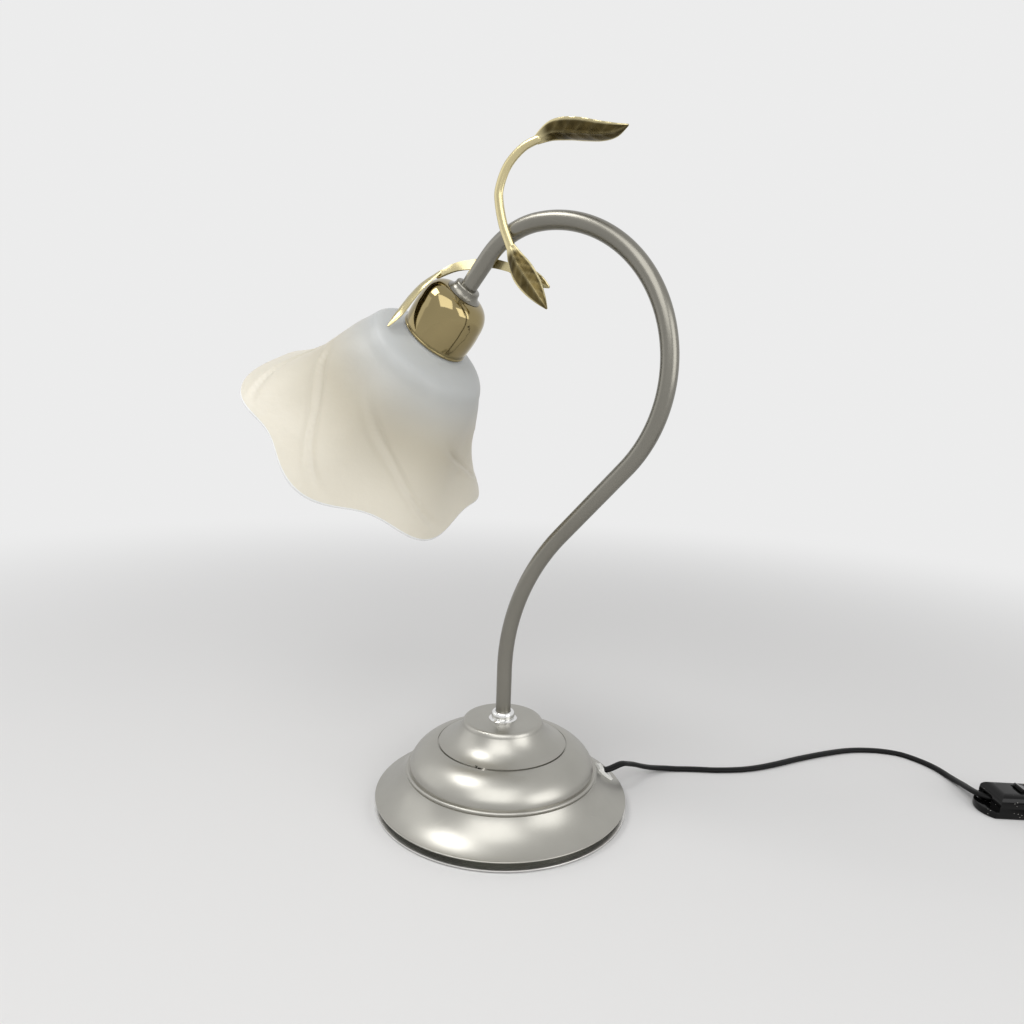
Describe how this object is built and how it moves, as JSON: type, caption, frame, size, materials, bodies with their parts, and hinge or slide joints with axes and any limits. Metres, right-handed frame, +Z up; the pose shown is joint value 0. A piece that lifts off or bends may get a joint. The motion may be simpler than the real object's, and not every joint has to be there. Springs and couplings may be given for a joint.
{
  "type": "table lamp",
  "caption": "Table lamp with a stepped round base, a bent tube stem with brass leaf sprays and a frosted tulip glass shade",
  "frame": {"origin": "centre of the base on the table", "axes": "+Z up; the stem bends in the XZ plane, its bow towards +X and the shade towards -X"},
  "size_m": [0.6788, 0.3325, 0.4102],
  "materials": {
    "satin_nickel": "satin nickel plate",
    "chrome": "polished",
    "cast_iron": "raw casting",
    "plate_steel": "satin",
    "zinc_steel": "zinc plated",
    "felt": "felt",
    "white_nylon": "moulded",
    "leaf_brass": "satin, darkened",
    "polished_brass": "polished",
    "holder_plastic": "moulded",
    "frosted_glass": "acid etched",
    "bulb_glass": "opal",
    "black_cord": "smooth",
    "black_gloss": "glossy",
    "black_satin": "moulded"
  },
  "bodies": {
    "lamp": {"base_shell": "satin_nickel", "base_crown": "satin_nickel", "ballast": "cast_iron", "bottom_plate": "plate_steel", "felt_pad": "felt", "stem_washer": "chrome", "stem_collar": "chrome", "lock_washer": "zinc_steel", "lock_nut": "zinc_steel", "cord_clip": "white_nylon", "gooseneck": "satin_nickel", "inner_flex": "black_cord", "base_flex": "black_cord", "stem_front": "leaf_brass", "leaf_top": "leaf_brass", "leaf_low": "leaf_brass", "stem_rear": "leaf_brass", "leaf_cup": "leaf_brass", "leaf_back": "leaf_brass", "head_ferrule": "satin_nickel", "brass_cup": "polished_brass", "holder_cap": "holder_plastic", "holder_body": "holder_plastic", "screw_shell": "polished_brass", "centre_contact": "polished_brass", "shade_ring": "holder_plastic", "glass_shade": "frosted_glass", "bulb_glass": "bulb_glass", "bulb_cap": "zinc_steel", "cord_run": "black_cord", "switch_base": "black_gloss", "switch_top": "black_gloss", "switch_pin": "zinc_steel", "switch_screws": "zinc_steel", "cord_tail": "black_cord", "cord_coil": "black_cord", "plug_body": "black_satin", "plug_pins": "chrome"},
    "rocker": {"switch_rocker": "black_gloss"}
  },
  "joints": [
    {"name": "rocker_tilt", "type": "hinge", "parent": "lamp", "child": "rocker", "pos_m": [0.30988, 0.2003, 0.0136], "axis": [0.5, -0.866, 0], "range_deg": [0, 16]}
  ]
}
